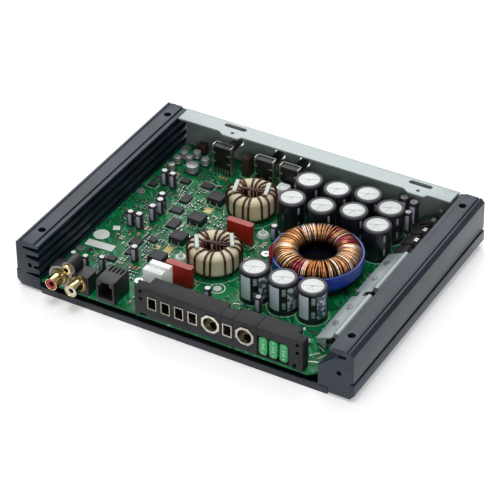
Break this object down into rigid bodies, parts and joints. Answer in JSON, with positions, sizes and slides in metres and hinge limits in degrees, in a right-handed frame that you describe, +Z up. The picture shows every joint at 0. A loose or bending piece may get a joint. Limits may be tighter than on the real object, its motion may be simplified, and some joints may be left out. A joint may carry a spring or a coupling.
{
  "type": "car amplifier",
  "caption": "Low flat car audio amplifier with its cover off: finned side rails, board with ring coils and capacitors, terminal block with fuses, signal sockets and level controls.",
  "frame": {"origin": "underside of the bottom plate, at the centre of the four mounting holes", "axes": "+X right along the front, -Y the terminal side, +Z up"},
  "size_m": [0.23, 0.183, 0.035],
  "materials": {
    "rail_paint": "satin dark blue-grey",
    "plate_paint": "satin dark",
    "zinc_sheet": "galvanised sheet",
    "steel": "zinc plated",
    "dark_steel": "blackened",
    "board": "green solder mask",
    "brass": "plain",
    "gold_plate": "gold plated",
    "black_plastic": "moulded",
    "grey_black_plastic": "moulded, fine texture",
    "red_plastic": "moulded",
    "white_plastic": "moulded",
    "fuse_green": "translucent moulded",
    "tinned": "tinned",
    "nickel": "nickel plated",
    "ferrite": "matt",
    "copper_wire": "enamelled copper",
    "blue_plastic": "moulded",
    "cream_core": "epoxy coated",
    "brown_wire": "enamelled",
    "white_glue": "cured",
    "aluminium_can": "matt",
    "black_sleeve": "shrink sleeve",
    "film_red": "dipped",
    "brown_box": "dipped",
    "chip_black": "moulded",
    "small_sleeve": "shrink sleeve"
  },
  "bodies": {
    "amplifier": {"left_rail": "rail_paint", "right_rail": "rail_paint", "bottom_plate": "plate_paint", "bottom_plate_screws": "dark_steel", "rear_panel": "zinc_sheet", "rear_panel_screws": "dark_steel", "main_board": "board", "board_spacers": "brass", "board_screws": "steel", "rca_jack_body": "black_plastic", "rca_shells": "gold_plate", "rca_insulator_red": "red_plastic", "rca_insulator_white": "white_plastic", "rca_contacts": "gold_plate", "rca_ground_boss": "gold_plate", "remote_jack_housing": "black_plastic", "remote_jack_contacts": "gold_plate", "speaker_terminal_block": "grey_black_plastic", "remote_terminal_block": "grey_black_plastic", "battery_terminal_block": "grey_black_plastic", "fuse_block": "grey_black_plastic", "wire_terminal_cages": "nickel", "power_terminal_barrels": "nickel", "terminal_set_screws": "dark_steel", "fuse_clips": "tinned", "transformer_core": "ferrite", "transformer_winding": "copper_wire", "transformer_case": "blue_plastic", "transformer_base": "black_plastic", "choke_cores": "cream_core", "choke_windings": "brown_wire", "choke_glue_strips": "white_glue", "capacitor_cans": "aluminium_can", "capacitor_sleeves": "black_sleeve", "film_capacitors": "film_red", "board_headers": "white_plastic", "output_chips": "chip_black", "output_chip_leads": "tinned", "transistor_heat_bar": "aluminium_can", "power_transistors": "chip_black", "power_transistor_leads": "tinned", "clamp_bar": "steel", "clamp_screws": "steel", "small_capacitors": "small_sleeve", "surface_capacitor_bases": "black_plastic", "surface_capacitor_cans": "aluminium_can", "signal_chips": "chip_black", "box_capacitors": "brown_box", "board_supports": "white_glue", "potentiometer_bodies": "black_plastic", "potentiometer_brackets": "tinned"},
    "level_shaft_1": {"potentiometer_shaft_1": "black_plastic"},
    "level_shaft_2": {"potentiometer_shaft_2": "black_plastic"},
    "level_shaft_3": {"potentiometer_shaft_3": "black_plastic"},
    "fuse_1": {"fuse_body_1": "fuse_green", "fuse_blades_1": "tinned"},
    "fuse_2": {"fuse_body_2": "fuse_green", "fuse_blades_2": "tinned"},
    "fuse_3": {"fuse_body_3": "fuse_green", "fuse_blades_3": "tinned"}
  },
  "joints": [
    {"name": "level_shaft_turn_1", "type": "hinge", "parent": "amplifier", "child": "level_shaft_1", "pos_m": [-0.0586, 0.074, 0.0229], "axis": [0, 1, 0], "range_deg": [-150, 150]},
    {"name": "level_shaft_turn_2", "type": "hinge", "parent": "amplifier", "child": "level_shaft_2", "pos_m": [-0.028, 0.074, 0.0229], "axis": [0, 1, 0], "range_deg": [-150, 150]},
    {"name": "level_shaft_turn_3", "type": "hinge", "parent": "amplifier", "child": "level_shaft_3", "pos_m": [-0.01, 0.074, 0.0229], "axis": [0, 1, 0], "range_deg": [-150, 150]},
    {"name": "fuse_pull_1", "type": "slide", "parent": "amplifier", "child": "fuse_1", "axis": [0, -1, 0], "range_m": [0, 0.016]},
    {"name": "fuse_pull_2", "type": "slide", "parent": "amplifier", "child": "fuse_2", "axis": [0, -1, 0], "range_m": [0, 0.016]},
    {"name": "fuse_pull_3", "type": "slide", "parent": "amplifier", "child": "fuse_3", "axis": [0, -1, 0], "range_m": [0, 0.016]}
  ]
}
